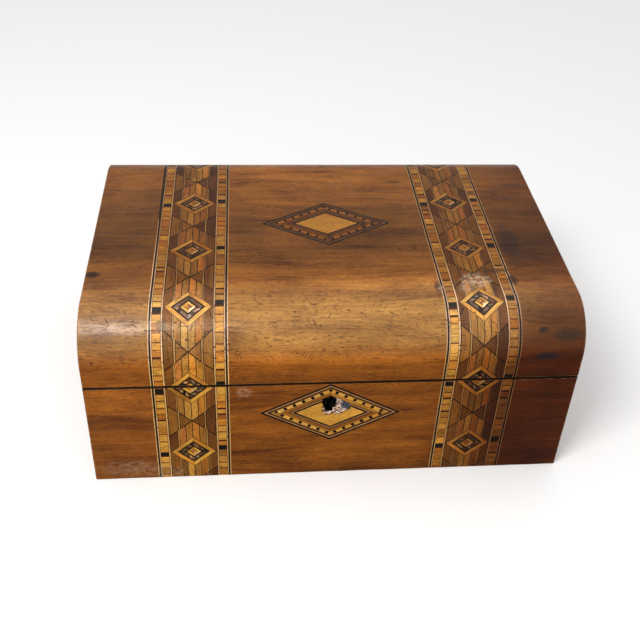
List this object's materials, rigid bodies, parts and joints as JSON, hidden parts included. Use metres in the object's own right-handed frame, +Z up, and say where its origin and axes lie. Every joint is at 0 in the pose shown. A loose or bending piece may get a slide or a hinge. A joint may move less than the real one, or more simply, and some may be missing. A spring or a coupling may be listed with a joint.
{
  "type": "inlaid wooden box",
  "caption": "Rectangular veneered wooden work box with round-shouldered hinged lid, bands of lozenge parquetry, inlaid diamonds on lid and front, and a box lock.",
  "frame": {"origin": "middle of the underside, midway between front and back faces of the base", "axes": "+X to the right of someone facing the keyhole, +Y to the back (hinge side), +Z up"},
  "size_m": [0.28, 0.1946, 0.116],
  "materials": {
    "walnut_veneer": "french-polished walnut veneer, worn",
    "pine": "bare softwood, darkened with age",
    "parquetry": "parquetry of light, orange and dark woods under old polish",
    "block_banding": "banding of short light, orange and black blocks",
    "box_stringing": "boxwood lines",
    "ebony_stringing": "ebonised lines",
    "diamond_stringing": "frames of black, pale and dark red lines",
    "dotted_border": "yellow border with small black squares",
    "satinwood": "yellow satinwood field",
    "brass": "aged brass",
    "lock_steel": "dark old iron and steel",
    "lining_paper": "faded plum lining paper"
  },
  "bodies": {
    "base": {"base_back_board": "pine", "base_back_veneer": "walnut_veneer", "base_bottom_board": "pine", "base_dark_lines": "ebony_stringing", "base_front_board": "pine", "base_front_veneer_centre": "walnut_veneer", "base_front_veneer_left": "walnut_veneer", "base_front_veneer_right": "walnut_veneer", "base_left_block_strips": "block_banding", "base_left_board": "pine", "base_left_lozenge_strip": "parquetry", "base_left_veneer": "walnut_veneer", "base_light_lines": "box_stringing", "base_lining_floor": "lining_paper", "base_lining_walls": "lining_paper", "base_right_block_strips": "block_banding", "base_right_board": "pine", "base_right_lozenge_strip": "parquetry", "base_right_veneer": "walnut_veneer", "front_diamond_border": "dotted_border", "front_diamond_field": "satinwood", "front_diamond_lines": "diamond_stringing", "hinge_base_leaf_left": "brass", "hinge_base_leaf_right": "brass", "hinge_base_screws": "brass", "hinge_pins": "brass", "lock_back_plate": "lock_steel", "lock_case": "lock_steel", "lock_key_pin": "lock_steel", "lock_screws": "brass", "lock_selvedge": "brass"},
    "lid": {"hinge_lid_leaf_left": "brass", "hinge_lid_leaf_right": "brass", "hinge_lid_screws": "brass", "lid_back_rail": "pine", "lid_dark_lines": "ebony_stringing", "lid_diamond_border": "dotted_border", "lid_diamond_field": "satinwood", "lid_diamond_lines": "diamond_stringing", "lid_front_rail": "pine", "lid_left_block_strips": "block_banding", "lid_left_end": "pine", "lid_left_end_veneer": "walnut_veneer", "lid_left_lozenge_strip": "parquetry", "lid_light_lines": "box_stringing", "lid_lining": "lining_paper", "lid_right_block_strips": "block_banding", "lid_right_end": "pine", "lid_right_end_veneer": "walnut_veneer", "lid_right_lozenge_strip": "parquetry", "lid_top_board": "pine", "lid_veneer_centre": "walnut_veneer", "lid_veneer_left": "walnut_veneer", "lid_veneer_right": "walnut_veneer", "link_plate": "brass", "link_plate_screws": "brass"},
    "bolt": {"lock_bolt": "lock_steel"}
  },
  "joints": [
    {"name": "lid_hinge", "type": "hinge", "parent": "base", "child": "lid", "pos_m": [0, 0.0975, 0.0743], "axis": [-1, 0, 0], "range_deg": [0, 105]},
    {"name": "bolt_slide", "type": "slide", "parent": "base", "child": "bolt", "axis": [-1, 0, 0], "range_m": [0, 0.0036]}
  ]
}
